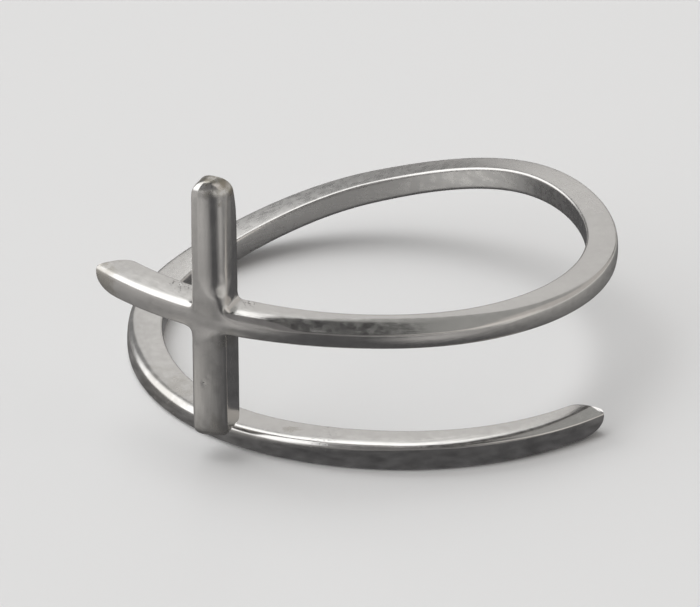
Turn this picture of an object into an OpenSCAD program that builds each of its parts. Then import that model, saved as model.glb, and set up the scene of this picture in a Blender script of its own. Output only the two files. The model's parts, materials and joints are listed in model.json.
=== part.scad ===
// Adjustable wrap ring with an upright cross, cast in silver, lying on its side as it rests on a table.
// One strip of metal makes a turn and a third round the finger and ends in two free tips. Its upper end
// is the cross's short arm, and the upright bar crosses it there. Angles run counter-clockwise, seen from
// above.

/* [Finger hollow] */
// Inner diameter of the round part of the band
hollow_d = 16.4; // [14.8:0.2:18.8]

/* [Band] */
// Least thickness of the band, measured outwards from the finger
band_t = 1.2; // [1:0.05:1.4]
// Least height of the band, measured along the finger
band_h = 0.9; // [0.8:0.05:1.1]
// Radius of the worn edges of the band
edge_r = 0.14; // [0.08:0.02:0.2]
// How high the upper end of the band stands over the table
rise = 5.6; // [5:0.1:6.2]
// Length over which each tip of the band is rounded off
tip_l = 1.25; // [0.8:0.05:1.6]

/* [Upright bar of the cross] */
// Width of the bar
bar_w = 1.35; // [1.2:0.05:1.5]
// Thickness of the bar, measured outwards from the finger
bar_t = 1.5; // [1.4:0.02:1.6]
// Height of the bar's lower end over the table
bar_low = 1.05; // [1.02:0.01:1.2]
// Length of the bar
bar_l = 10.7; // [9:0.1:12]
// How much narrower the bar gets towards its top
bar_taper = 0.08; // [0:0.02:0.2]
// Radius of the long edges of the bar
bar_edge_r = 0.2; // [0.1:0.02:0.3]
// Depth over which the bar's back is worn away towards its top
bar_back_worn = 0.5; // [0.2:0.05:0.6]
// Radius of the hollow corners where the bar crosses the band
web_r = 0.3; // [0.1:0.05:0.5]
// How far the bar's face stands out from the band's
bar_proud = 0.03; // [0.02:0.01:0.05]
// Place of the bar round the band, in degrees
bar_angle = -124.5; // [-126:0.5:-122]
// Lean of the bar along the band, in degrees, positive to the right as seen from outside
bar_lean = -0.2; // [-1:0.1:1]

/* [Hidden] */

first_angle = -149;
last_angle = 320;
angle_step = 3;
tip_rings = 7;
corner_points = 4;
end_rings = 8;
mid_rings = 9;
// Least part of a section that is left at the very tip
tip_rest = 0.12;
// Shares of a section's width and height that an edge and the bevel may take
edge_limit = 0.48;
bevel_limit = 0.62;
// Share of the tip's length over which its inner corner is rounded
tip_in_length = 0.6;
// Share of the band's height and of the tip's length that the tip's lower corner takes
tip_low_share = 0.58;
tip_low_length = 0.75;

// Stations round the band. The columns are the angle in degrees, how far the inner wall flares out from
// the round hollow, the height of the underside as a share of the rise, what the section is thicker and
// higher than the least, how far the bevel of the upper outer edge runs in and down, and how flat it is,
// from a round edge (0) to a flat facet (1).
ANGLE = 0;
FLARE = 1;
LIFT = 2;
THICKER = 3;
HIGHER = 4;
BEVEL_IN = 5;
BEVEL_DOWN = 6;
BEVEL_FLAT = 7;
stations = [
    // angle  flare  lift   thicker higher bevel in, down, flat
    [-165,    3.55,  1.063, 0.20,   0.10,  0.22, 0.22, 0],
    [-130,    2.20,  1.000, 0.25,   0.10,  0.22, 0.20, 0],
    [-121,    1.85,  0.979, 0.21,   0.09,  0.34, 0.32, 0],
    [-114,    1.58,  0.961, 0.15,   0.08,  0.40, 0.37, 0],
    [-107,    1.32,  0.943, 0.10,   0.06,  0.48, 0.33, 1],
    [-95,     0.95,  0.911, 0.03,   0.05,  0.61, 0.30, 1],
    [-85,     0.72,  0.885, 0.02,   0.05,  0.68, 0.30, 1],
    [-72,     0.48,  0.850, 0.03,   0.05,  0.57, 0.28, 1],
    [-50,     0.20,  0.795, 0.06,   0.05,  0.30, 0.22, 0.4],
    [0,       0.00,  0.688, 0.05,   0.05,  0.16, 0.16, 0],
    [45,      0.00,  0.616, 0.00,   0.10,  0.15, 0.15, 0],
    [90,      0.00,  0.321, 0.00,   0.10,  0.15, 0.15, 0],
    [135,     0.00,  0.035, 0.10,   0.10,  0.15, 0.15, 0],
    [180,     0.10,  0.000, 0.20,   0.05,  0.15, 0.15, 0],
    [225,     0.40,  0.000, 0.25,   -0.05, 0.12, 0.15, 0],
    [270,     0.90,  0.000, 0.15,   0.16,  0.22, 0.12, 0],
    [325,     2.23,  0.010, 0.02,   0.04,  0.58, 0.15, 1],
];

// Slope of a column at one station, taken from the stations beside it
function slope(col, i) =
    let (a = max(i - 1, 0), b = min(i + 1, len(stations) - 1))
    (stations[b][col] - stations[a][col]) / (stations[b][ANGLE] - stations[a][ANGLE]);

// Number of the station that starts the stretch round an angle
function stretch(angle, i = 0) =
    i >= len(stations) - 2 || stations[i + 1][ANGLE] >= angle ? i : stretch(angle, i + 1);

// Smooth value of a column at an angle: a cubic between the two stations beside it
function at(col, angle) =
    let (
        i = stretch(angle),
        span = stations[i + 1][ANGLE] - stations[i][ANGLE],
        u = (angle - stations[i][ANGLE]) / span
    )
    stations[i][col] * (1 - u) * (1 - u) * (1 + 2 * u)
    + stations[i + 1][col] * u * u * (3 - 2 * u)
    + span * u * (1 - u) * (slope(col, i) * (1 - u) - slope(col, i + 1) * u);

function inner_r(angle) = hollow_d / 2 + at(FLARE, angle);
function underside(angle) = max(0, rise * at(LIFT, angle));
function thickness(angle) = band_t + at(THICKER, angle);
function height(angle) = band_h + at(HIGHER, angle);
function wall_point(angle) = inner_r(angle) * [cos(angle), sin(angle)];

// Direction square to the band, level and away from the finger
function outward(angle) =
    let (step = 0.5, run = wall_point(angle + step) - wall_point(angle - step))
    [run[1], -run[0]] / norm(run);

// Quarter round of a section: its centre, its radius and the direction that it starts in
function corner(centre, r, start) =
    [for (k = [0:corner_points - 1])
        let (a = start + 90 * k / (corner_points - 1))
        centre + r * [cos(a), sin(a)]];

// Upper outer edge of a section, from the point under the edge to the one inside it
function bevel_edge(edge, in, down, flat) =
    [for (k = [0:corner_points - 1])
        let (
            share = k / (corner_points - 1),
            on_round = [cos(90 * share) - 1, sin(90 * share) - 1],
            on_flat = [-share, share - 1],
            place = on_round * (1 - flat) + on_flat * flat
        )
        edge + [place[0] * in, place[1] * down]];

// Section with three round corners and a bevel. Across runs away from the finger and up runs along it.
function section(across_0, across_1, up_0, up_1, r, bevel_in, bevel_down, flat) =
    let (
        wide = across_1 - across_0,
        high = up_1 - up_0,
        e = min(r, edge_limit * min(wide, high)),
        run_in = min(bevel_in, bevel_limit * wide),
        run_down = min(bevel_down, edge_limit * high)
    )
    concat(
        corner([across_1 - e, up_0 + e], e, -90),
        bevel_edge([across_1, up_1], run_in, run_down, flat),
        corner([across_0 + e, up_1 - e], e, 90),
        corner([across_0 + e, up_0 + e], e, 180)
    );

// Quarter ellipse from tip_rest at the very tip to 1 where the full section starts
function fullness(u) = u >= 1 ? 1 : tip_rest + (1 - tip_rest) * sqrt(1 - (1 - u) * (1 - u));

// Ring of points of the band at an angle, with the distance to the nearer tip
function band_ring(angle, to_tip) =
    let (
        t = thickness(angle),
        h = height(angle),
        low = h * tip_low_share * (1 - fullness(to_tip / (tip_l * tip_low_length))),
        inner = t * (1 - fullness(to_tip / (tip_l * tip_in_length))),
        flat = min(1, max(0, at(BEVEL_FLAT, angle))),
        wall = wall_point(angle),
        out = outward(angle),
        z = underside(angle)
    )
    [for (p = section(inner, t, low, h, edge_r, at(BEVEL_IN, angle), at(BEVEL_DOWN, angle), flat))
        [wall[0] + out[0] * p[0], wall[1] + out[1] * p[0], z + p[1]]];

// Distances from a tip of its rings, closer together towards the tip
tip_places = [for (k = [0:tip_rings - 1]) tip_l * (1 - cos(90 * k / tip_rings))];
function degrees_for(length, angle) = length / (inner_r(angle) + thickness(angle)) * 180 / PI;
first_full = first_angle + degrees_for(tip_l, first_angle);
last_full = last_angle - degrees_for(tip_l, last_angle);
full_rings = round((last_full - first_full) / angle_step);

band_rings = concat(
    [for (d = tip_places) band_ring(first_angle + degrees_for(d, first_angle), d)],
    [for (k = [0:full_rings])
        band_ring(first_full + (last_full - first_full) * k / full_rings, tip_l)],
    [for (k = [tip_rings - 1:-1:0])
        band_ring(last_angle - degrees_for(tip_places[k], last_angle), tip_places[k])]
);

// The bar's frame: the middle of the band's outer face where the bar crosses it
bar_out = outward(bar_angle);
bar_side = [-bar_out[1], bar_out[0]];
bar_face = wall_point(bar_angle) + bar_out * (thickness(bar_angle) + bar_proud);
cross_low = underside(bar_angle);
cross_high = cross_low + height(bar_angle);
bar_high = bar_low + bar_l;
// Height of the rounding at the bar's foot, and how far it takes the sides and the faces in
foot_round = 0.35;
foot_side = 0.27;
foot_face = 0.22;
// How full the bar's top is, and height and depth of the rounding of its front there
top_power = 2.25;
top_front_high = 0.8;
top_front_deep = 0.45;
// Height over which the bar's back is worn away towards its top, and the depth of its last rounding
back_worn_high = 2;
top_back_deep = 0.25;

// How far a quarter ellipse of this depth stands back: all of it at its end (0), nothing at its start (1).
// A power over 2 makes it fuller.
function rounded(deep, u, power = 2) =
    deep * (1 - pow(max(0, 1 - pow(1 - min(1, u), power)), 1 / power));

// Concave widening of the bar near the band: full at the band's edge, nothing past the radius
function web(z) =
    let (gap = max(cross_low - z, z - cross_high, 0))
    gap >= web_r ? 0 : web_r - sqrt(web_r * web_r - (web_r - gap) * (web_r - gap));

// Half width of the bar at a height, and how far its front and back stand in from its full thickness
function bar_half(z) =
    let (
        narrower = bar_taper / 2 * max(0, z - cross_high) / (bar_high - cross_high),
        full = bar_w / 2 - narrower,
        top = rounded(full, (bar_high - z) / full, top_power)
    )
    web(z) + full - top - rounded(foot_side, (z - bar_low) / foot_round);
function foot_inset(z) = rounded(foot_face, (z - bar_low) / foot_round);
function front_inset(z) = foot_inset(z) + rounded(top_front_deep, (bar_high - z) / top_front_high);
function back_inset(z) =
    let (worn = max(0, 1 - (bar_high - z) / back_worn_high))
    foot_inset(z) + rounded(top_back_deep, (bar_high - z) / top_front_high) + bar_back_worn * worn * worn;

function bar_ring(z) =
    let (
        aside = (z - (cross_low + cross_high) / 2) * tan(bar_lean),
        half = bar_half(z),
        back = -bar_t + back_inset(z)
    )
    [for (p = section(-half, half, back, -front_inset(z), bar_edge_r, bar_edge_r, bar_edge_r, 0))
        [bar_face[0] + bar_side[0] * (p[0] + aside) + bar_out[0] * p[1],
         bar_face[1] + bar_side[1] * (p[0] + aside) + bar_out[1] * p[1],
         z]];

// Heights of the bar's rings: close together at both ends and at the hollow corners
top_start = bar_high - bar_w / 2;
top_cut = 0.985;
foot_rings = 4;
foot_start = 0.15;
bar_heights = concat(
    [for (k = [0:foot_rings - 1])
        bar_low + foot_round * (1 - cos(90 * (k + foot_start) / (foot_rings + foot_start)))],
    [for (k = [0:mid_rings]) cross_low - web_r * (1 - k / mid_rings)],
    [for (k = [0:mid_rings]) cross_high + web_r * k / mid_rings],
    [for (k = [0:end_rings]) top_start + bar_w / 2 * top_cut * sin(90 * k / end_rings)]
);
bar_rings = [for (z = bar_heights) bar_ring(z)];

// Origin: the middle of the ring's box, on the table
all_points = concat([for (ring = band_rings) each ring], [for (ring = bar_rings) each ring]);
function middle(axis) =
    let (values = [for (p = all_points) p[axis]])
    (min(values) + max(values)) / 2;
origin = [middle(0), middle(1), 0];

// Closed skin over a row of rings that all have as many points
module skin(rings) {
    n = len(rings[0]);
    last = len(rings) - 1;
    sides = [for (i = [0:last - 1], j = [0:n - 1])
        let (a = i * n + j, b = i * n + (j + 1) % n)
        each [[a, b, a + n], [b, b + n, a + n]]];
    ends = [[for (j = [n - 1:-1:0]) j], [for (j = [0:n - 1]) last * n + j]];
    polyhedron(points = [for (ring = rings) each ring], faces = concat(sides, ends), convexity = 6);
}

module band() skin(band_rings);

module bar() skin(bar_rings);

module cross_ring() color("#b9b9b6")
    translate(-origin)
    union() {
        band();
        bar();
    }

cross_ring();
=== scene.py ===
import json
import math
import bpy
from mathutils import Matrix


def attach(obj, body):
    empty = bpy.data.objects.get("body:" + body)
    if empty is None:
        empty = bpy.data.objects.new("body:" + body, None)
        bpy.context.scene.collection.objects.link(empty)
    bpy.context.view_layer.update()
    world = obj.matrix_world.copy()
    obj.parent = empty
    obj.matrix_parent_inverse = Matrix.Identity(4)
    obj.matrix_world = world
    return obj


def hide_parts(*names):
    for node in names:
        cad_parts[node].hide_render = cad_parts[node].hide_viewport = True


bl_info = {
    "name": "Silver wrap ring with an upright cross",
    "version": (1, 0, 0),
    "blender": (4, 5, 0),
    "location": "3D View > Sidebar > Cross ring",
    "description": "Dresses the packed ring: cast and polished silver, a pale floor and soft studio light",
    "category": "Object",
}

from collections import namedtuple

import bpy
from bpy.props import FloatProperty, FloatVectorProperty, IntProperty, PointerProperty
from mathutils import Quaternion, Vector, noise

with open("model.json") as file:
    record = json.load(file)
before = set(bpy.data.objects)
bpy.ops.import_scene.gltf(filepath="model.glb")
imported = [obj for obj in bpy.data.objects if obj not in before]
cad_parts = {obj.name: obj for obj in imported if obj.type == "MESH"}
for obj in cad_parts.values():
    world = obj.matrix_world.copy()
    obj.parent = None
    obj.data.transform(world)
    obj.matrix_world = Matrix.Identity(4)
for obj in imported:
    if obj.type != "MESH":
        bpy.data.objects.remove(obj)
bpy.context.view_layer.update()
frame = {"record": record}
NODE = "cross_ring"
BODY = "root"
MM = 0.001


def mount_place(name):
    """Place of one of the record's mounts, in the row frame."""
    return Vector(next(m["pos_m"] for m in frame["record"]["mounts"] if m["name"] == name))


FINGER_AXIS = mount_place("finger")

# Stations round the band, in degrees and millimetres, as in the part's source: the angle, how far the inner
# wall flares out from the round hollow, the underside's height as a share of the rise, what the section is
# thicker and higher than the least, and how far the bevel of its upper outer edge runs in and down and how
# flat it is
COLUMNS = ("angle", "flare", "lift", "thicker", "higher", "bevel_in", "bevel_down", "flat")
STATIONS = (
    (-165, 3.55, 1.063, 0.20, 0.10, 0.22, 0.22, 0),
    (-130, 2.20, 1.000, 0.25, 0.10, 0.22, 0.20, 0),
    (-121, 1.85, 0.979, 0.21, 0.09, 0.34, 0.32, 0),
    (-114, 1.58, 0.961, 0.15, 0.08, 0.40, 0.37, 0),
    (-107, 1.32, 0.943, 0.10, 0.06, 0.48, 0.33, 1),
    (-95, 0.95, 0.911, 0.03, 0.05, 0.61, 0.30, 1),
    (-85, 0.72, 0.885, 0.02, 0.05, 0.68, 0.30, 1),
    (-72, 0.48, 0.850, 0.03, 0.05, 0.57, 0.28, 1),
    (-50, 0.20, 0.795, 0.06, 0.05, 0.30, 0.22, 0.4),
    (0, 0.00, 0.688, 0.05, 0.05, 0.16, 0.16, 0),
    (45, 0.00, 0.616, 0.00, 0.10, 0.15, 0.15, 0),
    (90, 0.00, 0.321, 0.00, 0.10, 0.15, 0.15, 0),
    (135, 0.00, 0.035, 0.10, 0.10, 0.15, 0.15, 0),
    (180, 0.10, 0.000, 0.20, 0.05, 0.15, 0.15, 0),
    (225, 0.40, 0.000, 0.25, -0.05, 0.12, 0.15, 0),
    (270, 0.90, 0.000, 0.15, 0.16, 0.22, 0.12, 0),
    (325, 2.23, 0.010, 0.02, 0.04, 0.58, 0.15, 1),
)
FIRST_ANGLE = -149
LAST_ANGLE = 320

# Points of a quarter of a section: four round its corner and three along its side
QUARTER = 7

# A corner of a section: its size along the side behind and the side ahead, how far it is a flat bevel and how
# far a long curve with a crisp end, the gaps to the points that hold it, and where a bevel's last round is
BEVEL_END = 0.62
Corner = namedtuple("Corner", "back_r ahead_r facet crest back_gap ahead_gap late", defaults=(BEVEL_END,))


def length_property(name, description, millimetres):
    """A size in metres, given in millimetres."""
    return FloatProperty(
        name=name, description=description, default=millimetres * MM, min=0.0, precision=5, unit="LENGTH"
    )


def angle_property(name, description, degrees):
    """An angle, given in degrees."""
    return FloatProperty(name=name, description=description, default=math.radians(degrees), subtype="ANGLE")


def colour_property(name, description, default):
    """A colour: red, green and blue."""
    return FloatVectorProperty(
        name=name, description=description, default=default, size=3, min=0.0, max=1.0, subtype="COLOR"
    )


class RingSizes(bpy.types.PropertyGroup):
    """Sizes of the ring, as in the part's source"""

    hollow_d: length_property("Hollow", "Inner diameter of the round part of the band", 16.4)
    band_t: length_property("Band thickness", "Least thickness of the band", 1.2)
    band_h: length_property("Band height", "Least height of the band", 0.9)
    rise: length_property("Rise", "Height of the upper end of the band over the table", 5.6)
    tip_l: length_property("Tip", "Length over which each tip is rounded off", 1.25)
    bar_w: length_property("Bar width", "Width of the upright bar", 1.35)
    bar_t: length_property("Bar thickness", "Thickness of the upright bar", 1.5)
    bar_low: length_property("Bar foot", "Height of the bar's lower end over the table", 1.05)
    bar_l: length_property("Bar length", "Length of the upright bar", 10.7)
    bar_taper: length_property("Bar taper", "How much narrower the bar gets towards its top", 0.08)
    bar_back_worn: length_property("Bar back", "Depth over which the bar's back is worn away at its top", 0.5)
    bar_proud: length_property("Bar proud", "How far the bar's face stands out from the band's", 0.03)
    bar_angle: angle_property("Bar place", "Place of the bar round the band", -124.5)
    bar_lean: angle_property("Bar lean", "Lean of the bar along the band", -0.2)


class RingFinish(bpy.types.PropertyGroup):
    """Colour and polish of the silver"""

    silver: colour_property("Silver", "Colour of the polished silver", (0.80, 0.785, 0.765))
    # The tarnish colour also paints shade over the bar's top
    tarnish_and_shade: colour_property("Tarnish", "Colour of the silver where it has tarnished", (0.42, 0.39, 0.33))
    pit: colour_property("Pit", "Colour in the casting pits", (0.12, 0.115, 0.11))
    polish: FloatProperty(
        name="Polish", description="Roughness of the polished silver", default=0.16, min=0.0, max=1.0
    )
    dull_back: FloatProperty(
        name="Dull back", description="What the back of the ring is rougher", default=0.10, min=0.0, max=0.5
    )
    smooth_levels: IntProperty(
        name="Smoothing", description="How often the cage of the casting is divided", default=2, min=1, max=3
    )


class StageSettings(bpy.types.PropertyGroup):
    """Camera, floor and light"""

    elevation: angle_property("Elevation", "Angle of the camera over the floor", 27.9)
    distance: length_property("Distance", "From the camera to the ring", 249.5)
    lens: FloatProperty(
        name="Lens", description="Focal length on a sensor 36 mm wide, in millimetres", default=328.4
    )
    floor: colour_property("Floor", "Colour of the pale floor", (0.80, 0.80, 0.80))
    floor_light: FloatProperty(
        name="Floor light", description="Power of the soft light on the floor, in watts", default=1.1, min=0.0
    )


def station_value(name, angle):
    """Smooth value of a column at an angle: a cubic between the two stations beside it."""
    column = COLUMNS.index(name)
    last = len(STATIONS) - 1

    def slope(i):
        before, after = STATIONS[max(i - 1, 0)], STATIONS[min(i + 1, last)]
        return (after[column] - before[column]) / (after[0] - before[0])

    i = 0
    while i < last - 1 and STATIONS[i + 1][0] < angle:
        i += 1
    one, two = STATIONS[i : i + 2]
    span = two[0] - one[0]
    u = (angle - one[0]) / span
    start = one[column] * (1 - u) ** 2 * (1 + 2 * u)
    end = two[column] * u * u * (3 - 2 * u)
    lean = slope(i) * (1 - u) - slope(i + 1) * u
    return start + end + span * u * (1 - u) * lean


def smooth_step(low, high, value):
    """0 under low, 1 over high and a soft rise between them."""
    u = min(1.0, max(0.0, (value - low) / (high - low)))
    return u * u * (3 - 2 * u)


def plain_corner(radius, gap):
    """A round corner, in millimetres."""
    return Corner(radius * MM, radius * MM, 0.0, 0.0, gap * MM, gap * MM)


def mixed(low, high, share):
    """Values between two plain tuples or numbers."""
    if isinstance(low, tuple):
        return tuple(a + (b - a) * share for a, b in zip(low, high))
    return low + (high - low) * share


# How far a round's middle points stand out, a crisp edge's length, where a long curve bends and how it ends
ROUND_SPREAD = 1 / 0.955
CRISP = 0.04 * MM
CREST_BEND = (0.55, 0.3)
CREST_SLOPE = 1.6
# Greatest share of a side that a point beside its corner takes, and that both its corners take together
HOLD_LIMIT = 0.3
CORNER_LIMIT = 0.9


def corner_points(place, back, ahead, corner):
    """Four control points round a corner, from the side behind it to the side ahead of it: a round, a bevel
    whose first edge is crisp and whose last edge is soft, or a long curve that ends in a crisp edge."""
    back_r, ahead_r = corner.back_r, corner.ahead_r
    first = min(HOLD_LIMIT, CRISP / max(CRISP, math.hypot(back_r, ahead_r)))
    bevel_places = (0.0, first, corner.late, 1.0)
    slope = min(1.0, CRISP / max(CRISP, back_r))
    crest_places = ((0.0, 0.0), CREST_BEND, (1 - slope, 1 - CREST_SLOPE * slope), (1.0, 1.0))
    points = []
    for k, turn in enumerate((0, 30, 60, 90)):
        wide = ROUND_SPREAD if k in (1, 2) else 1.0
        a = math.radians(turn)
        on_round = (1 - wide * math.sin(a), 1 - wide * math.cos(a))
        on_bevel = (1 - bevel_places[k], bevel_places[k])
        on_crest = (1 - crest_places[k][0], crest_places[k][1])
        shares = mixed(mixed(on_round, on_bevel, corner.facet), on_crest, corner.crest)
        points.append(place + back * back_r * shares[0] + ahead * ahead_r * shares[1])
    points[-1] += ahead * CRISP * corner.crest
    return points


def side_points(start, end, start_gap, end_gap, outward, crown):
    """Three points along a side: one close to each end, which hold the corners, and one in the middle. The
    crown pushes the middle of the side out."""
    length = (end - start).length
    points = []
    for share in (min(HOLD_LIMIT, start_gap / length), 0.5, 1 - min(HOLD_LIMIT, end_gap / length)):
        points.append(start.lerp(end, share) + outward * crown * 4 * share * (1 - share))
    return points


def box_section(low, high, corners, crowns):
    """Section with four corners. They come counter-clockwise from the one at the high first axis and low
    second axis, and each crown belongs to the side ahead of its corner. A side under 1 mm is crowned less."""
    places = (Vector((high[0], low[1])), Vector(high), Vector((low[0], high[1])), Vector(low))
    directions = (Vector((1, 0)), Vector((0, 1)), Vector((-1, 0)), Vector((0, -1)))
    lengths = [(places[(k + 1) % 4] - places[k]).length for k in range(4)]
    taken = [corners[k].ahead_r + corners[(k + 1) % 4].back_r for k in range(4)]
    room = [min(1.0, CORNER_LIMIT * lengths[k] / taken[k]) for k in range(4)]
    rounds = []
    for k, corner in enumerate(corners):
        fitted = corner._replace(back_r=corner.back_r * room[k - 1], ahead_r=corner.ahead_r * room[k])
        rounds.append(corner_points(places[k], -directions[k], directions[(k + 1) % 4], fitted))
    section = []
    for k in range(4):
        ahead = (k + 1) % 4
        gaps = corners[k].ahead_gap, corners[ahead].back_gap
        crown = crowns[k] * min(1.0, lengths[k] / MM)
        section += rounds[k]
        section += side_points(rounds[k][-1], rounds[ahead][0], *gaps, directions[k], crown)
    return section


class RingShape:
    """Path and sections of the band and the bar, round the finger's axis, in metres and degrees."""

    # The tips, as in the part's source: what is left at the end, and the shares that their corners take
    TIP_REST = 0.12
    TIP_IN_LENGTH = 0.6
    TIP_LOW_SHARE = 0.58
    TIP_LOW_LENGTH = 0.75
    # Height of the round at the bar's foot, and of the one at its top on the front and the back
    FOOT_HIGH = 0.35 * MM
    TOP_HIGH = 0.8 * MM
    BACK_WORN_HIGH = 2.0 * MM
    # Crowns of the band's face and top and of the bar's face
    FACE_CROWN = 0.03 * MM
    TOP_CROWN = 0.015 * MM
    BAR_CROWN = 0.01 * MM
    # The band's bevel: the gaps to the points that hold it, and where its last round starts
    BEVEL_HOLD = 0.06 * MM
    CRISP_BEVEL = (0.07, 0.85)
    SOFT_BEVEL = (0.16, BEVEL_END)
    # Where the lower turn's edge is worn rounder, in degrees, and by how many millimetres
    WORN_RUNS = ((170, 200), (222, 238), (262, 285))
    WORN_LEFT = 0.20
    WORN_UNDER = 0.13
    # The bar's front edges, in millimetres along the face and the side: at the band, over it and under it.
    # Then the heights where they change, and the gaps to the points that hold them
    LEFT_EDGES = ((0.15, 0.15), (0.15, 0.24))
    RIGHT_EDGES = ((0.34, 0.28), (0.90, 0.85), (0.80, 0.20))
    OVER_BAND = (-0.1 * MM, 1.3 * MM)
    UNDER_BAND = (0.0, 0.35 * MM)
    FACE_HOLD = 0.12
    SIDE_HOLD = 0.08
    CRISP_HOLD = 0.05

    def __init__(self, size):
        self.size = size
        self.bar_angle = math.degrees(size.bar_angle)
        out = self.outward(self.bar_angle)
        self.bar_out = Vector((out.x, out.y, 0))
        self.bar_side = Vector((-out.y, out.x, 0))
        wall = self.wall_point(self.bar_angle)
        face = wall + out * (self.thickness(self.bar_angle) + size.bar_proud)
        self.bar_face = Vector((face.x, face.y, 0))
        self.cross_low = self.underside(self.bar_angle)
        self.cross_high = self.cross_low + self.height(self.bar_angle)
        self.bar_high = size.bar_low + size.bar_l

    def wall_point(self, angle):
        inner_r = self.size.hollow_d / 2 + station_value("flare", angle) * MM
        a = math.radians(angle)
        return Vector((inner_r * math.cos(a), inner_r * math.sin(a)))

    def outward(self, angle):
        step = 0.5
        run = self.wall_point(angle + step) - self.wall_point(angle - step)
        return Vector((run.y, -run.x)).normalized()

    def thickness(self, angle):
        return self.size.band_t + station_value("thicker", angle) * MM

    def height(self, angle):
        return self.size.band_h + station_value("higher", angle) * MM

    def underside(self, angle):
        return max(0.0, self.size.rise * station_value("lift", angle))

    def degrees_for(self, length, angle):
        """Turn that a length along the outer face takes at an angle."""
        outer_r = self.wall_point(angle).length + self.thickness(angle)
        return math.degrees(length / outer_r)

    def worn_edge(self, angle):
        """How much rounder the lower turn's upper outer edge is worn at the left and under the cross."""
        start, change, end = (smooth_step(*run, angle) for run in self.WORN_RUNS)
        return (self.WORN_LEFT * (start * (1 - change)) + self.WORN_UNDER * (change * (1 - end))) * MM

    def band_section(self, angle, to_tip):
        size = self.size
        t = self.thickness(angle)
        h = self.height(angle)
        gone = 1 - self.TIP_REST
        low = h * self.TIP_LOW_SHARE * self.rounded(to_tip, size.tip_l * self.TIP_LOW_LENGTH, deep=gone)
        inner = t * self.rounded(to_tip, size.tip_l * self.TIP_IN_LENGTH, deep=gone)
        run_in = station_value("bevel_in", angle) * MM
        run_down = station_value("bevel_down", angle) * MM
        facet = min(1.0, max(0.0, station_value("flat", angle)))
        worn = self.worn_edge(angle)
        # The upper turn's bevel rounds softly into the top, and the lower turn's meets it in a crisp line
        gap, late = mixed(self.CRISP_BEVEL, self.SOFT_BEVEL, facet if angle < 0 else 0.0)
        bevel = Corner(run_down + worn, run_in + worn, facet, 0.0, self.BEVEL_HOLD, gap * MM, late)
        inner_top, inner_low = plain_corner(radius=0.11, gap=0.07), plain_corner(radius=0.14, gap=0.08)
        corners = (plain_corner(radius=0.15, gap=0.08), bevel, inner_top, inner_low)
        # The crowned middles of the outer face and the top reach the full size
        high = (t - self.FACE_CROWN, h - self.TOP_CROWN)
        return box_section((inner, low), high, corners, (self.FACE_CROWN, self.TOP_CROWN, 0.0, 0.0))

    def band_ring(self, angle, to_tip=1.0):
        """Points of the band's section at an angle: up the outer face, in over the top, down the inner wall
        and back along the underside."""
        wall = self.wall_point(angle)
        out = self.outward(angle)
        z = self.underside(angle)
        section = self.band_section(angle, to_tip)
        return [Vector((wall.x + out.x * p.x, wall.y + out.y * p.x, z + p.y)) for p in section]

    @staticmethod
    def rounded(run, high, deep, power=2.0):
        """How far a quarter ellipse of this height and depth stands back, at a run from its end. A power over
        2 makes it fuller."""
        return deep * (1 - max(0.0, 1 - (1 - min(1.0, run / high)) ** power) ** (1 / power))

    def bar_half(self, z):
        """Half width of the bar at a height: a slight taper, a half-round top and a rounded foot."""
        size = self.size
        narrower = size.bar_taper / 2 * max(0.0, z - self.cross_high) / (self.bar_high - self.cross_high)
        full = size.bar_w / 2 - narrower
        top = self.rounded(self.bar_high - z, high=full, deep=full, power=2.25)
        return full - top - self.rounded(z - size.bar_low, self.FOOT_HIGH, deep=0.27 * MM)

    def bar_insets(self, z):
        """How far the back and the front stand in from the bar's full thickness at a height."""
        foot = self.rounded(z - self.size.bar_low, self.FOOT_HIGH, deep=0.22 * MM)
        down = self.bar_high - z
        front = self.rounded(down, self.TOP_HIGH, deep=0.5 * MM, power=3.0)
        back = self.rounded(down, self.TOP_HIGH, deep=0.25 * MM)
        worn = max(0.0, 1 - down / self.BACK_WORN_HIGH)
        return foot + back + self.size.bar_back_worn * worn * worn, foot + front

    def bar_section(self, z):
        """Section of the bar. Over the band its right edge is a wide round that grows upwards, and under the
        band the face curves back to a crisp edge."""
        half = self.bar_half(z)
        back_inset, front_inset = self.bar_insets(z)
        above = smooth_step(*self.OVER_BAND, z - self.cross_high)
        below = smooth_step(*self.UNDER_BAND, self.cross_low - z)
        left = mixed(*self.LEFT_EDGES, above)
        right = mixed(mixed(*self.RIGHT_EDGES[:2], above), self.RIGHT_EDGES[2], below)
        hold = mixed(self.SIDE_HOLD, self.CRISP_HOLD, below)
        left = Corner(left[0] * MM, left[1] * MM, 0.0, 0.0, self.SIDE_HOLD * MM, self.SIDE_HOLD * MM)
        right = Corner(right[0] * MM, right[1] * MM, 0.0, below, self.FACE_HOLD * MM, hold * MM)
        back = plain_corner(radius=0.15, gap=0.08)
        # The section is laid out with its first axis to the front and its second to the right
        low = (-self.size.bar_t + back_inset, -half)
        crowns = (self.BAR_CROWN, 0.0, 0.0, 0.0)
        section = box_section(low, (-front_inset, half), (left, right, back, back), crowns)
        return [Vector((p.y, p.x)) for p in section]

    def bar_ring(self, z):
        """Points of the bar's section at a height: right across the front, back along the right side, across
        the back and forward along the left side."""
        lean = (z - (self.cross_low + self.cross_high) / 2) * math.tan(self.size.bar_lean)
        ring = []
        for p in self.bar_section(z):
            place = self.bar_face + self.bar_side * (p.x + lean) + self.bar_out * p.y
            ring.append(Vector((place.x, place.y, z)))
        return ring


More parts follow.
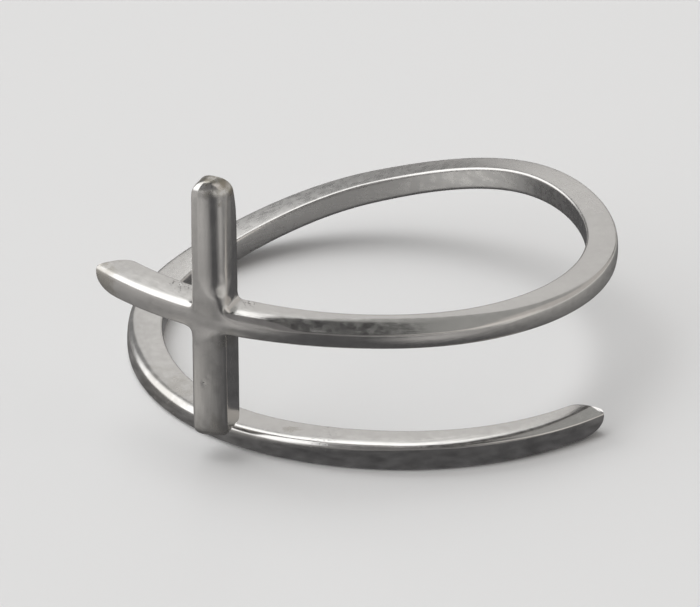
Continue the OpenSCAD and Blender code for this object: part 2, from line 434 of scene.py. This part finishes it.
class Cage:
    """Control cage of the casting: points and the four-sided faces between them."""

    def __init__(self):
        self.points = []
        self.faces = []

    def add(self, points):
        start = len(self.points)
        self.points += points
        return list(range(start, len(self.points)))

    def strip(self, one, two):
        """Faces between two rows that have as many points."""
        for k in range(len(one) - 1):
            self.faces.append((one[k], one[k + 1], two[k + 1], two[k]))

    def grid(self, rows):
        for one, two in zip(rows, rows[1:]):
            self.strip(one, two)

    def tube(self, one, two):
        """Faces between two closed rings."""
        self.strip(one + one[:1], two + two[:1])

    def cap(self, ring, bulge):
        """Closes a ring with a grid of faces, pushed out in its middle by bulge."""
        n = QUARTER
        edge = ring[1:] + ring[:1]
        south = edge[: n + 1]
        east = edge[n : 2 * n + 1]
        north = edge[2 * n : 3 * n + 1][::-1]
        west = (edge[3 * n :] + edge[:1])[::-1]
        rows = [south]
        for i in range(1, n):
            v = i / n
            row = [west[i]]
            for j in range(1, n):
                u = j / n
                a, b, c, d = (self.points[k] for k in (south[j], north[j], west[i], east[i]))
                corners = [self.points[k] for k in (south[0], south[n], north[0], north[n])]
                plain = corners[0] * (1 - u) * (1 - v) + corners[1] * u * (1 - v)
                plain += corners[2] * (1 - u) * v + corners[3] * u * v
                place = a * (1 - v) + b * v + c * (1 - u) + d * u - plain
                place += bulge * (16 * u * (1 - u) * v * (1 - v))
                row += self.add([place])
            row.append(east[i])
            rows.append(row)
        self.grid(rows + [north])


def growing_steps(length, first_step, greatest_step, growth=1.18, least=0.6):
    """Places along a length whose steps grow. The last step is at least this share of a full one."""
    places = [0.0]
    step = first_step
    while places[-1] + step < length - least * step:
        places.append(places[-1] + step)
        step = min(step * growth, greatest_step)
    return places + [length]


# Where the points of a section lie: the front strip, the ribbon over the top or along the right side, the
# back strip and the ribbon under the band or along the left side, each with the corner points that it ends on
FRONT = list(range(3, 8))
OVER = list(range(7, 18))
BACK = list(range(17, 22))
UNDER = list(range(21, 28)) + list(range(0, 4))
# Number of faces across the front or the back strip
ACROSS = len(FRONT) - 1

# Distances in millimetres from each hollow corner of the cross to the next row: they set how round it is
HOLLOWS = {"upper left": 0.22, "upper right": 0.42, "lower left": 0.52, "lower right": 0.2}
# Gap to the row after that, and the first and the greatest step along the band, in degrees, and along the bar
ROW_GAP = 0.18 * MM
BAND_STEPS = (1.0, 3.7)
BAR_STEPS = (0.2 * MM, 0.42 * MM)
# Rows of a tip and its end's bulge in millimetres, rows of the bar's top and foot, in degrees of a quarter
# round, and how much of the top's round they reach
TIP_ROWS = 7
TIP_BULGE = 0.02
TOP_ROWS = range(9, 91, 9)
FOOT_ROWS = range(75, 3, -14)
TOP_REACH = 0.985


def cross_point(shape, band_point, bar_point):
    """Point of the line where a ribbon of the band turns into one of the bar: the band's height, the bar's
    place along the band, and the mean of both depths."""
    side, out = shape.bar_side, shape.bar_out
    band, bar = band_point - shape.bar_face, bar_point - shape.bar_face
    place = shape.bar_face + side * bar.dot(side) + out * (band.dot(out) + bar.dot(out)) / 2
    return Vector((place.x, place.y, band_point.z))


def build_cage(shape):
    """Cage of the whole casting. The four arms of the cross meet at a block, where each ribbon of the band
    turns into one of the bar."""
    cage = Cage()
    size = shape.size
    half_turn = shape.degrees_for(size.bar_w / 2, shape.bar_angle)
    left_angle = shape.bar_angle - half_turn
    right_angle = shape.bar_angle + half_turn
    hollow = {name: distance * MM for name, distance in HOLLOWS.items()}

    # The four lines where the arms meet
    lines = {}
    under = UNDER[::-1]
    for level, band_row, z in (("upper", OVER, shape.cross_high), ("lower", under, shape.cross_low)):
        bar = shape.bar_ring(z)
        for side, bar_row, angle in (("left", under, left_angle), ("right", OVER, right_angle)):
            band = shape.band_ring(angle)
            points = [cross_point(shape, band[i], bar[j]) for i, j in zip(band_row, bar_row)]
            lines[level + " " + side] = cage.add(points)

    def face_grid(end):
        """The block's front or back face, between the ends of the four lines."""
        corners = [lines[n][end] for n in ("lower left", "lower right", "upper left", "upper right")]
        a, b, c, d = (cage.points[k] for k in corners)
        rows = []
        for i in range(ACROSS + 1):
            v = i / ACROSS
            row = []
            for j in range(ACROSS + 1):
                u = j / ACROSS
                if i in (0, ACROSS) and j in (0, ACROSS):
                    row.append(corners[2 * (i // ACROSS) + j // ACROSS])
                else:
                    low = a.lerp(b, u)
                    row += cage.add([low.lerp(c.lerp(d, u), v)])
            rows.append(row)
        cage.grid(rows)
        return rows

    front = face_grid(0)
    back = face_grid(-1)

    def block_ring(side):
        """The block's points that an arm's first section joins, in the order of that section."""
        if side in ("left", "right"):
            column = 0 if side == "left" else ACROSS
            upper, lower = lines["upper " + side], lines["lower " + side]
            ahead = [row[column] for row in front]
            behind = [row[column] for row in back][::-1]
            return ahead[:-1] + upper[:-1] + behind[:-1] + lower[::-1][:-1]
        row = ACROSS if side == "upper" else 0
        right, left = lines[side + " right"], lines[side + " left"]
        return front[row][:-1] + right[:-1] + back[row][::-1][:-1] + left[::-1][:-1]

    def from_front(ring):
        """A section's points from the first one of the front strip on."""
        return ring[FRONT[0] :] + ring[: FRONT[0]]

    def grow(previous, points):
        """Next section of an arm, joined to the one before it."""
        ring = cage.add(points)
        cage.tube(from_front(previous), from_front(ring))
        return ring

    def begin(side, low_ring, high_ring):
        """First section of an arm, joined to the block. It goes from one ring's underside or left side to the
        other's top or right side."""
        shares = {k: 0.0 for k in UNDER}
        shares.update({k: i / ACROSS for i, k in enumerate(FRONT)})
        shares.update({k: 1.0 for k in OVER})
        shares.update({k: 1 - i / ACROSS for i, k in enumerate(BACK)})
        ring = cage.add([low_ring[k].lerp(high_ring[k], shares[k]) for k in range(4 * QUARTER)])
        cage.tube(block_ring(side), from_front(ring))
        return ring

    # The two arms along the band
    for side, sign, edge_angle, tip_angle in (
        ("left", -1, left_angle, FIRST_ANGLE),
        ("right", 1, right_angle, LAST_ANGLE),
    ):
        lower, upper = hollow["lower " + side], hollow["upper " + side]
        near = [edge_angle + sign * shape.degrees_for(d, edge_angle) for d in (lower, upper)]
        previous = begin(side, shape.band_ring(near[0]), shape.band_ring(near[1]))
        tip_turn = shape.degrees_for(size.tip_l, tip_angle)
        start_turn = edge_angle + sign * shape.degrees_for(max(lower, upper) + ROW_GAP, edge_angle)
        length = abs(tip_angle - sign * tip_turn - start_turn)
        for turn in growing_steps(length, *BAND_STEPS):
            previous = grow(previous, shape.band_ring(start_turn + sign * turn))
        for k in range(TIP_ROWS - 1, -1, -1):
            to_tip = size.tip_l * (1 - math.cos(math.pi / 2 * k / TIP_ROWS))
            angle = tip_angle - sign * shape.degrees_for(to_tip, tip_angle)
            previous = grow(previous, shape.band_ring(angle, to_tip))
        run = shape.wall_point(tip_angle + sign) - shape.wall_point(tip_angle)
        ahead = Vector((run.x, run.y, 0)).normalized()
        cage.cap(previous, ahead * TIP_BULGE * MM)

    # The two arms of the bar
    for side, sign, edge in (("upper", 1, shape.cross_high), ("lower", -1, shape.cross_low)):
        left, right = hollow[side + " left"], hollow[side + " right"]
        previous = begin(side, shape.bar_ring(edge + sign * left), shape.bar_ring(edge + sign * right))
        start = edge + sign * (max(left, right) + ROW_GAP)
        if side == "upper":
            high = size.bar_w / 2
            stop = shape.bar_high - high
            ends = [stop + high * TOP_REACH * math.sin(math.radians(a)) for a in TOP_ROWS]
        else:
            high = shape.FOOT_HIGH
            stop = size.bar_low + high
            ends = [size.bar_low + high * (1 - math.cos(math.radians(a))) for a in FOOT_ROWS]
        steps = growing_steps(abs(stop - start), *BAR_STEPS)
        for z in [start + sign * d for d in steps] + ends:
            previous = grow(previous, shape.bar_ring(z))
        cage.cap(previous, Vector((0, 0, 0)))
    return cage


def add_object(name, data):
    """New object in the scene."""
    made = bpy.data.objects.new(name, data)
    bpy.context.scene.collection.objects.link(made)
    return made


def casting_mesh(shape, levels):
    """Mesh of the casting, from its divided cage, in the row frame."""
    cage = build_cage(shape)
    shift = Vector((FINGER_AXIS.x, FINGER_AXIS.y, 0))
    mesh = bpy.data.meshes.new("silver_casting")
    mesh.from_pydata([p + shift for p in cage.points], [], cage.faces)
    mesh.validate()
    piece = add_object("silver_casting", mesh)
    bpy.context.view_layer.objects.active = piece
    bpy.ops.object.select_all(action="DESELECT")
    piece.select_set(True)
    bpy.ops.object.mode_set(mode="EDIT")
    bpy.ops.mesh.select_all(action="SELECT")
    bpy.ops.mesh.normals_make_consistent(inside=False)
    bpy.ops.object.mode_set(mode="OBJECT")
    smooth = piece.modifiers.new("smooth", "SUBSURF")
    smooth.levels = smooth.render_levels = levels
    bpy.ops.object.modifier_apply(modifier=smooth.name)
    piece.data.shade_smooth()
    return piece


class NodeTree:
    """Short calls that build one node tree."""

    def __init__(self, tree):
        self.tree = tree

    def add(self, kind, **settings):
        node = self.tree.nodes.new(kind)
        for name, value in settings.items():
            setattr(node, name, value)
        return node

    def feed(self, socket, value):
        """Links a socket to another one, or gives it a plain value."""
        if isinstance(value, bpy.types.NodeSocket):
            self.tree.links.new(value, socket)
        else:
            socket.default_value = value

    def maths(self, operation, *values, clamp=False):
        node = self.add("ShaderNodeMath", operation=operation, use_clamp=clamp)
        for socket, value in zip(node.inputs, values):
            self.feed(socket, value)
        return node.outputs["Value"]

    def vector(self, operation, *values, output="Vector", scale=None):
        node = self.add("ShaderNodeVectorMath", operation=operation)
        for socket, value in zip(node.inputs, values):
            self.feed(socket, value[:3] if isinstance(value, tuple) else value)
        if scale is not None:
            self.feed(node.inputs["Scale"], scale)
        return node.outputs[output]

    def noise(self, place, scale, detail=2.0, distortion=0.0):
        node = self.add("ShaderNodeTexNoise")
        self.feed_all(node, Vector=place, Scale=scale, Detail=detail, Distortion=distortion)
        return node.outputs["Fac"]

    def feed_all(self, node, **values):
        """Feeds a node's sockets by name: an underscore stands for a space."""
        for name, value in values.items():
            self.feed(node.inputs[name.replace("_", " ")], value)

    def group(self, group, **values):
        """What a group puts out."""
        node = self.add("ShaderNodeGroup", node_tree=group)
        self.feed_all(node, **values)
        return node.outputs[0]

    def split(self, vector):
        """The three parts of a vector."""
        node = self.add("ShaderNodeSeparateXYZ")
        self.feed(node.inputs[0], vector)
        return tuple(node.outputs)

    def ramp(self, value, low, high, to_low=0.0, to_high=1.0, soft=True):
        """Value taken from one range to another and held at its ends."""
        node = self.add("ShaderNodeMapRange", interpolation_type="SMOOTHSTEP" if soft else "LINEAR")
        self.feed_all(node, Value=value, From_Min=low, From_Max=high, To_Min=to_low, To_Max=to_high)
        return node.outputs["Result"]

    def mix(self, share, a, b, kind="RGBA"):
        """Colour or number between two others."""
        node = self.add("ShaderNodeMix", data_type=kind)
        self.feed_all(node, Factor=share, A=a, B=b)
        return node.outputs["Result"]


def new_group(name, output, kind, **inputs):
    """Empty node group with named sockets, its tree, and its inner inputs and output."""
    group = bpy.data.node_groups.new(name, "ShaderNodeTree")
    for socket, input_kind in inputs.items():
        group.interface.new_socket(name=socket, in_out="INPUT", socket_type="NodeSocket" + input_kind)
    group.interface.new_socket(name=output, in_out="OUTPUT", socket_type="NodeSocket" + kind)
    tree = NodeTree(group)
    return group, tree, tree.add("NodeGroupInput").outputs, tree.add("NodeGroupOutput").inputs[0]


# Marks of the hand work, in the row frame and in millimetres: middle, radius and depth, and the radii where
# each is full and where it ends
Spot = namedtuple("Spot", "place radius strength")
DENTS = (
    Spot((-5.91, -9.13, 3.34), 0.11, 0.020),
    Spot((-5.76, -9.18, 3.58), 0.07, 0.008),
    Spot((-6.78, -7.50, 6.62), 0.16, 0.010),
    Spot((-4.13, -8.52, 6.42), 0.14, 0.009),
    Spot((-4.43, -8.41, 6.44), 0.10, 0.008),
)
DENT_RUN = (0.2, 1.4)
# Rough spot where the bar's right side meets the band, and the radii where it is full and ends
ROUGH_SPOT = Vector((-4.60, -8.38, 6.62))
ROUGH_RUN = (0.22, 0.55)
# Ragged lower edge of the upper turn's facet: where it starts and ends, in degrees, and between which heights
RAGGED_START = (-74, -66)
RAGGED_END = (-52, -44)
RAGGED_LOW = 5.2
RAGGED_HIGH = 6.6
# Length and depth of the waves that polishing left, and of those in the rough spot and the ragged edge
WAVES = ((1.9, 0.006), (0.55, 0.0012))
ROUGH_WAVES = (0.22, 0.022)
RAGGED_WAVES = (0.45, 0.008)


def work_surface(mesh):
    """Sinks every point of the casting a little way, as filing, polishing and knocks did. Nothing is raised,
    so the piece keeps within its solid."""

    def waves(place, length, deep):
        return deep * (0.5 + 0.5 * noise.noise(place / length))

    axis = FINGER_AXIS / MM
    normals = [vertex.normal.copy() for vertex in mesh.vertices]
    for vertex, normal in zip(mesh.vertices, normals):
        place = vertex.co / MM
        depth = sum(waves(place, *wave) for wave in WAVES)
        rough = 1 - smooth_step(*ROUGH_RUN, (place - ROUGH_SPOT).length)
        if rough > 0:
            depth += rough * waves(place, *ROUGH_WAVES)
        turn = math.degrees(math.atan2(place.y - axis.y, place.x - axis.x))
        ragged = smooth_step(*RAGGED_START, turn) * (1 - smooth_step(*RAGGED_END, turn))
        if ragged > 0 and RAGGED_LOW < place.z < RAGGED_HIGH:
            depth += ragged * waves(place, *RAGGED_WAVES)
        for dent in DENTS:
            away = (place - Vector(dent.place)).length / dent.radius
            if away < DENT_RUN[1]:
                depth += dent.strength * (1 - smooth_step(*DENT_RUN, away))
        vertex.co -= normal * depth * MM


# Range that most values of a noise lie in
NOISE_SPAN = (0.3, 0.7)


def mask_group(name, **sockets):
    """Node group that gives a mask by place."""
    return new_group(name, "Mask", "Float", Place="Vector", **sockets)


def spot_group():
    """Soft round spot with an uneven edge: 1 in its middle, 0 past its radius."""
    group, tree, given, mask = mask_group("spot", Middle="Vector", Radius="Float", Breakup="Float")
    away = tree.vector("DISTANCE", given["Place"], given["Middle"], output="Value")
    share = tree.maths("DIVIDE", away, given["Radius"])
    uneven = tree.noise(given["Place"], given["Breakup"], detail=3)
    shift = tree.ramp(uneven, *NOISE_SPAN, to_low=-0.35, to_high=0.35, soft=False)
    tree.feed(mask, tree.ramp(tree.maths("ADD", share, shift), low=1.0, high=0.3))
    return group


def speck_group():
    """Small pits that casting leaves, 1 in each pit. Fill is the share of them that shows."""
    group, tree, given, mask = mask_group("specks", Scale="Float", Fill="Float")
    cells = tree.add("ShaderNodeTexVoronoi", feature="F1")
    tree.feed_all(cells, Vector=given["Place"], Scale=given["Scale"])
    chance = tree.noise(cells.outputs["Position"], scale=7.3)
    shown = tree.maths("LESS_THAN", chance, given["Fill"])
    pit = tree.ramp(cells.outputs["Distance"], low=0.34, high=0.12)
    tree.feed(mask, tree.maths("MULTIPLY", shown, pit))
    return group


def line_group():
    """Fine lines that polishing leaves: noise drawn out along one direction of the given place."""
    group, tree, given, mask = mask_group("polishing_lines", Stretch="Vector", Scale="Float")
    drawn = tree.vector("MULTIPLY", given["Place"], given["Stretch"])
    fine = tree.noise(drawn, given["Scale"], detail=3, distortion=0.3)
    tree.feed(mask, tree.ramp(fine, low=0.35, high=0.65, soft=False))
    return group


# Dull and dark spots of the silver, in the row frame and in millimetres: middle, radius and how strong. Most
# are tarnish; the one over the bar's top is browner tarnish and painted shade
TARNISH_AND_SHADE = (
    Spot((-9.9, -6.2, 6.3), 1.1, 0.55),
    # Painted shade over the bar's top, in the tarnish colour
    Spot((-5.05, -8.15, 12.1), 1.6, 1.0),
    Spot((-2.6, -8.4, 0.97), 0.35, 0.40),
    Spot((-4.9, -8.9, 5.3), 0.8, 0.35),
    Spot((-8.0, -5.2, 0.4), 2.2, 0.30),
    Spot((-5.4, -9.3, 1.2), 0.8, 0.35),
)
PITTED = (
    Spot((-6.75, -7.35, 6.6), 0.75, 1.0),
    Spot((-4.2, -8.45, 6.45), 0.45, 0.9),
    Spot((-5.91, -9.13, 3.34), 0.16, 1.0),
    Spot((-5.76, -9.18, 3.6), 0.12, 0.7),
    Spot((-1.3, -8.9, 0.97), 0.9, 0.5),
)
# What the lines, the tarnish with its painted shade and the pits add to the roughness, and the relief of each
# and the bloom, in millimetres
ROUGHER = {"lines": 0.03, "tarnish_and_shade": 0.18, "pits": 0.3}
RELIEF = {"lines": 0.0010, "bloom": 0.0016, "pits": -0.012}
# Middle of the bar, and the distances from it between which its lines give way to the band's
BAR_MIDDLE = (-5.35, -8.75, 0)
BAR_RUN = (1.05, 0.85)
# Millimetres along the band to a radian of its turn, for the lines' scale
ARC = 9.0


def polishing_lines(tree, place):
    """Mask of the lines that polishing left, along the band and upright on the bar."""
    lines = line_group()
    x, y, z = tree.split(tree.vector("SUBTRACT", place, FINGER_AXIS / MM))
    arc = tree.maths("MULTIPLY", tree.maths("ARCTAN2", y, x), ARC)
    squares = [tree.maths("POWER", value, 2.0) for value in (x, y)]
    radius = tree.maths("SQRT", tree.maths("ADD", *squares))
    unrolled = tree.add("ShaderNodeCombineXYZ")
    tree.feed_all(unrolled, X=arc, Y=radius, Z=z)
    along = tree.group(lines, Place=unrolled.outputs[0], Stretch=(0.06, 1, 1), Scale=9.0)
    upright = tree.group(lines, Place=place, Stretch=(1, 1, 0.07), Scale=8.0)
    level = tree.vector("MULTIPLY", place, (1, 1, 0))
    from_bar = tree.vector("DISTANCE", level, BAR_MIDDLE, output="Value")
    return tree.mix(tree.ramp(from_bar, *BAR_RUN), along, upright, kind="FLOAT")


def silver_material(finish):
    """Hand-polished silver: satin bloom, polishing lines, casting pits, a little tarnish and painted shade
    over the bar's top.
    """
    material = bpy.data.materials.new("polished_silver")
    material.use_nodes = True
    tree = NodeTree(material.node_tree)
    shader = material.node_tree.nodes["Principled BSDF"]
    place = tree.vector("SCALE", tree.add("ShaderNodeTexCoord").outputs["Object"], scale=1 / MM)
    spot = spot_group()

    def strongest(spots, breakup):
        """Mask of several spots."""
        total = 0.0
        for one in spots:
            mask = tree.group(spot, Place=place, Middle=one.place, Radius=one.radius, Breakup=breakup)
            total = tree.maths("MAXIMUM", total, tree.maths("MULTIPLY", mask, one.strength))
        return total

    bloom = tree.noise(place, scale=3.2, detail=6)
    cloud = tree.noise(place, scale=0.55)
    specks = tree.group(speck_group(), Place=place, Scale=10.0, Fill=0.62)
    masks = {
        "lines": polishing_lines(tree, place),
        "bloom": bloom,
        "tarnish_and_shade": strongest(TARNISH_AND_SHADE, breakup=2.2),
        "pits": tree.maths("MULTIPLY", strongest(PITTED, breakup=5.0), specks),
    }

    # Colour: silver, dulled by the bloom, browned by tarnish, darkened by painted shade over the bar's top
    # and dark in the pits
    bloom_tone = tree.ramp(bloom, low=0.25, high=0.75, to_low=0.96, to_high=1.03, soft=False)
    cloud_tone = tree.ramp(cloud, *NOISE_SPAN, to_low=0.97, to_high=1.02, soft=False)
    colour = (*finish.silver, 1)
    for name, stain_and_shade in (("tarnish_and_shade", finish.tarnish_and_shade), ("pits", finish.pit)):
        colour = tree.mix(masks[name], colour, (*stain_and_shade, 1))
    tone = tree.maths("MULTIPLY", bloom_tone, cloud_tone)
    tree.feed(shader.inputs["Base Color"], tree.vector("SCALE", colour, scale=tone))
    shader.inputs["Metallic"].default_value = 1.0

    # Polish: smoother and duller patches, a softer back, and what the marks add
    patches = tree.ramp(bloom, *NOISE_SPAN, to_low=finish.polish - 0.03, to_high=finish.polish + 0.05)
    soft_back = tree.ramp(tree.split(place)[1], low=-2.0, high=6.0, to_high=finish.dull_back)
    rough = tree.maths("ADD", patches, soft_back)
    for name, change in ROUGHER.items():
        rough = tree.maths("ADD", rough, tree.maths("MULTIPLY", masks[name], change), clamp=True)
    tree.feed(shader.inputs["Roughness"], rough)

    # Relief: fine lines, bloom and pits
    height = 0.0
    for name, change in RELIEF.items():
        height = tree.maths("ADD", height, tree.maths("MULTIPLY", masks[name], change))
    bump = tree.add("ShaderNodeBump")
    tree.feed_all(bump, Distance=MM, Height=height)
    tree.feed(shader.inputs["Normal"], bump.outputs["Normal"])
    return material


class RING_OT_casting(bpy.types.Operator):
    """Build the cast and polished ring with its cross"""

    bl_idname = "ring.casting"
    bl_label = "Silver casting"

    def execute(self, context):
        scene = context.scene
        piece = casting_mesh(RingShape(scene.ring_sizes), scene.ring_finish.smooth_levels)
        work_surface(piece.data)
        piece.data.materials.append(silver_material(scene.ring_finish))
        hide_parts(NODE)
        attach(piece, BODY)
        return {"FINISHED"}


# Table as the silver mirrors it, a glow that only mirrored rays see: tones of its dark middle and of its left
# and right sides, which are painted light, and where its sides begin and end, in millimetres from the middle
# of the ring
TABLE_DARK = (0.085, 0.084, 0.086)
PAINTED_LIGHT_SIDES = (((0.45, 0.44, 0.43), (-3.0, -33.0)), ((0.60, 0.59, 0.57), (9.0, 36.0)))
# Patches of painted light on the table: place, radius and tone. The last one lies inside the ring.
Patch = namedtuple("Patch", "place radius tone")
PAINTED_LIGHT_PATCHES = (
    Patch((11.5, -20.5), 10.0, (0.47, 0.46, 0.45)),
    Patch((-17.0, -27.0), 14.0, (0.47, 0.46, 0.45)),
    Patch((-11.0, -12.0), 6.0, (0.43, 0.42, 0.405)),
    Patch((-1.7, 3.6), 3.8, (0.95, 0.94, 0.92)),
)
# Size of the table's mottling in millimetres, and how much it changes the tones
TABLE_GRAIN = 0.9
TABLE_MOTTLING = 0.35


def mirrored_table(tree):
    """Colour of the dark table that the silver mirrors, by its place, with painted light on its sides and in
    patches.
    """
    place = tree.add("ShaderNodeNewGeometry").outputs["Position"]
    across = tree.split(place)[0]
    colour = (*TABLE_DARK, 1)
    for tone, (near, far) in PAINTED_LIGHT_SIDES:
        side = math.copysign(1, far - near)
        along = tree.maths("MULTIPLY", across, side / MM)
        colour = tree.mix(tree.ramp(along, side * near, side * far, soft=False), colour, (*tone, 1))
    for patch in PAINTED_LIGHT_PATCHES:
        away = tree.vector("DISTANCE", place, Vector((*patch.place, 0)) * MM, output="Value")
        colour = tree.mix(tree.ramp(away, patch.radius * MM, 0.0), colour, (*patch.tone, 1))
    grain = tree.noise(place, 1 / (TABLE_GRAIN * MM), detail=3)
    uneven = tree.ramp(grain, *NOISE_SPAN, 1 - TABLE_MOTTLING, 1 + TABLE_MOTTLING, soft=False)
    return tree.vector("SCALE", colour, scale=uneven)


def floor_material(colour):
    """Pale matt floor, which the silver mirrors as a glowing dark table with painted light on its sides and
    in patches.
    """
    material = bpy.data.materials.new("pale_floor")
    material.use_nodes = True
    tree = NodeTree(material.node_tree)
    pale = material.node_tree.nodes["Principled BSDF"]
    tree.feed_all(pale, Base_Color=(*colour, 1), Roughness=0.9, Specular_IOR_Level=0.1)
    # Mirrored rays see the floor glow with the table's colour and its painted light
    mirrored = tree.add("ShaderNodeEmission")
    tree.feed_all(mirrored, Color=mirrored_table(tree))
    either = tree.add("ShaderNodeMixShader")
    tree.feed(either.inputs[0], tree.add("ShaderNodeLightPath").outputs["Is Glossy Ray"])
    tree.feed(either.inputs[1], pale.outputs["BSDF"])
    tree.feed(either.inputs[2], mirrored.outputs["Emission"])
    tree.feed(material.node_tree.nodes["Material Output"].inputs["Surface"], either.outputs["Shader"])
    return material


# Gap between the floor and the ring, so that their faces don't flicker
FLOOR_GAP = 0.01 * MM
# Point that the camera looks at, in millimetres from the finger's axis
CAMERA_AIM = Vector((-0.978, 0, 1.614))


def add_floor(colour):
    """Round floor under the ring."""
    place = (0, 0, -FLOOR_GAP)
    bpy.ops.mesh.primitive_circle_add(vertices=96, radius=3.0, fill_type="NGON", location=place)
    floor = bpy.context.object
    floor.name = "floor"
    floor.data.materials.append(floor_material(colour))


def add_floor_light(power):
    """Broad soft light over the ring, for the floor alone: the silver doesn't mirror it."""
    data = bpy.data.lights.new("floor_light", "AREA")
    data.energy = power
    data.shape = "DISK"
    data.size = 0.5
    light = add_object("floor_light", data)
    light.location = Vector((-0.15, 0.1, 0.6))
    light.rotation_mode = "QUATERNION"
    light.rotation_quaternion = light.location.to_track_quat("Z", "Y")
    light.visible_glossy = False


def add_camera(stage):
    """Camera at the photograph's angle."""
    target = Vector((FINGER_AXIS.x, FINGER_AXIS.y, 0)) + CAMERA_AIM * MM
    back = Vector((0, -math.cos(stage.elevation), math.sin(stage.elevation)))
    data = bpy.data.cameras.new("camera")
    data.lens = stage.lens
    data.sensor_width = 36.0
    data.sensor_fit = "HORIZONTAL"
    data.clip_start = 0.01
    data.clip_end = 20.0
    camera = add_object("camera", data)
    camera.location = target + back * stage.distance
    camera.rotation_mode = "QUATERNION"
    camera.rotation_quaternion = (-back).to_track_quat("-Z", "Y")
    bpy.context.scene.camera = camera


def compass(azimuth, elevation):
    """Direction from the ring. Azimuth 0 is behind the ring as the camera sees it, and 90 to its right."""
    a, e = math.radians(azimuth), math.radians(elevation)
    return Vector((math.sin(a) * math.cos(e), math.cos(a) * math.cos(e), math.sin(e)))


def soft_box_group():
    """Node group of one soft box: its own colour over the one below, inside a rectangle with feathered edges,
    seen from the ring. Wide and High are half sizes, as tangents of the angle from the middle."""
    inputs = {name: "Vector" for name in ("Direction", "Facing", "Across", "Upright")}
    inputs.update({name: "Float" for name in ("Wide", "High", "Feather")})
    group, tree, given, over = new_group("soft_box", "Over", "Color", Below="Color", Light="Color", **inputs)

    def along(axis):
        return tree.vector("DOT_PRODUCT", given["Direction"], given[axis], output="Value")

    nearly_square = 0.001
    facing = along("Facing")
    ahead = tree.maths("MAXIMUM", facing, nearly_square)
    mask = tree.maths("GREATER_THAN", facing, nearly_square)
    for axis, half in (("Across", "Wide"), ("Upright", "High")):
        off = tree.maths("ABSOLUTE", tree.maths("DIVIDE", along(axis), ahead))
        soft = tree.maths("MULTIPLY", given[half], given["Feather"])
        outer = tree.maths("ADD", given[half], soft)
        inner = tree.maths("SUBTRACT", given[half], soft)
        mask = tree.maths("MULTIPLY", mask, tree.ramp(off, outer, inner))
    tree.feed(over, tree.mix(mask, given["Below"], given["Light"]))
    return group


# Surround that the ring mirrors: a dim room, with soft boxes and cards laid over each other in this order.
# Each has its middle's direction, its half sizes and its roll in degrees, how soft its edges are, and a tone
SoftBox = namedtuple("SoftBox", "azimuth elevation wide high roll feather light")
ROOM = (0.205, 0.20, 0.195)
SOFT_BOXES = (
    SoftBox(180, 44, 24, 28, 0, 0.25, (0.07, 0.07, 0.07)),
    SoftBox(78, 30, 43, 45, 0, 0.12, (0.48, 0.46, 0.44)),
    SoftBox(110, 22, 16, 34, 0, 0.3, (0.68, 0.65, 0.62)),
    SoftBox(28, 55, 22, 22, 0, 0.2, (0.32, 0.32, 0.31)),
    SoftBox(-20, 61, 14, 28, 20, 0.12, (1.4, 1.4, 1.39)),
    SoftBox(-44, 24, 33, 24, 0, 0.2, (0.20, 0.20, 0.20)),
    SoftBox(10, 21, 17, 13, 0, 0.12, (0.60, 0.59, 0.58)),
    SoftBox(-95, 37, 48, 38, 0, 0.3, (1.4, 1.4, 1.4)),
    SoftBox(-170, 45, 20, 32, 0, 0.15, (0.17, 0.165, 0.165)),
    SoftBox(88, 80, 7.5, 20.5, -88, 0.1, (0.045, 0.045, 0.045)),
)


def studio_world():
    """Surround of the ring."""
    world = bpy.data.worlds.new("studio")
    world.use_nodes = True
    tree = NodeTree(world.node_tree)
    direction = tree.add("ShaderNodeTexCoord").outputs["Generated"]
    group = soft_box_group()
    total = (*ROOM, 1)
    for box in SOFT_BOXES:
        facing = compass(box.azimuth, box.elevation)
        across = facing.cross(Vector((0, 0, 1))).normalized()
        across.rotate(Quaternion(facing, math.radians(-box.roll)))
        total = tree.group(
            group,
            Below=total,
            Direction=direction,
            Facing=facing,
            Across=across,
            Upright=across.cross(facing),
            Wide=math.tan(math.radians(box.wide)),
            High=math.tan(math.radians(box.high)),
            Feather=box.feather,
            Light=(*box.light, 1),
        )
    tree.feed(world.node_tree.nodes["Background"].inputs["Color"], total)
    return world


class RING_OT_stage(bpy.types.Operator):
    """Set the camera, the pale floor and the soft lights"""

    bl_idname = "ring.stage"
    bl_label = "Stage"

    def execute(self, context):
        stage = context.scene.ring_stage
        add_floor(stage.floor)
        add_floor_light(stage.floor_light)
        add_camera(stage)
        context.scene.world = studio_world()
        context.scene.view_settings.view_transform = "Standard"
        return {"FINISHED"}


class RING_PT_panel(bpy.types.Panel):
    """Steps that build the ring"""

    bl_idname = "RING_PT_panel"
    bl_label = "Cross ring"
    bl_space_type = "VIEW_3D"
    bl_region_type = "UI"
    bl_category = "Cross ring"

    def draw(self, context):
        layout = self.layout
        for operator in STEPS:
            layout.operator(operator.bl_idname)


GROUPS = (RingSizes, RingFinish, StageSettings)
STEPS = (RING_OT_casting, RING_OT_stage)


def register():
    for cls in (*GROUPS, *STEPS, RING_PT_panel):
        bpy.utils.register_class(cls)
    bpy.types.Scene.ring_sizes = PointerProperty(type=RingSizes)
    bpy.types.Scene.ring_finish = PointerProperty(type=RingFinish)
    bpy.types.Scene.ring_stage = PointerProperty(type=StageSettings)


def unregister():
    del bpy.types.Scene.ring_stage, bpy.types.Scene.ring_finish, bpy.types.Scene.ring_sizes
    for cls in reversed((*GROUPS, *STEPS, RING_PT_panel)):
        bpy.utils.unregister_class(cls)


def main():
    register()
    bpy.ops.ring.casting()
    bpy.ops.ring.stage()


if __name__ == "__main__":
    main()
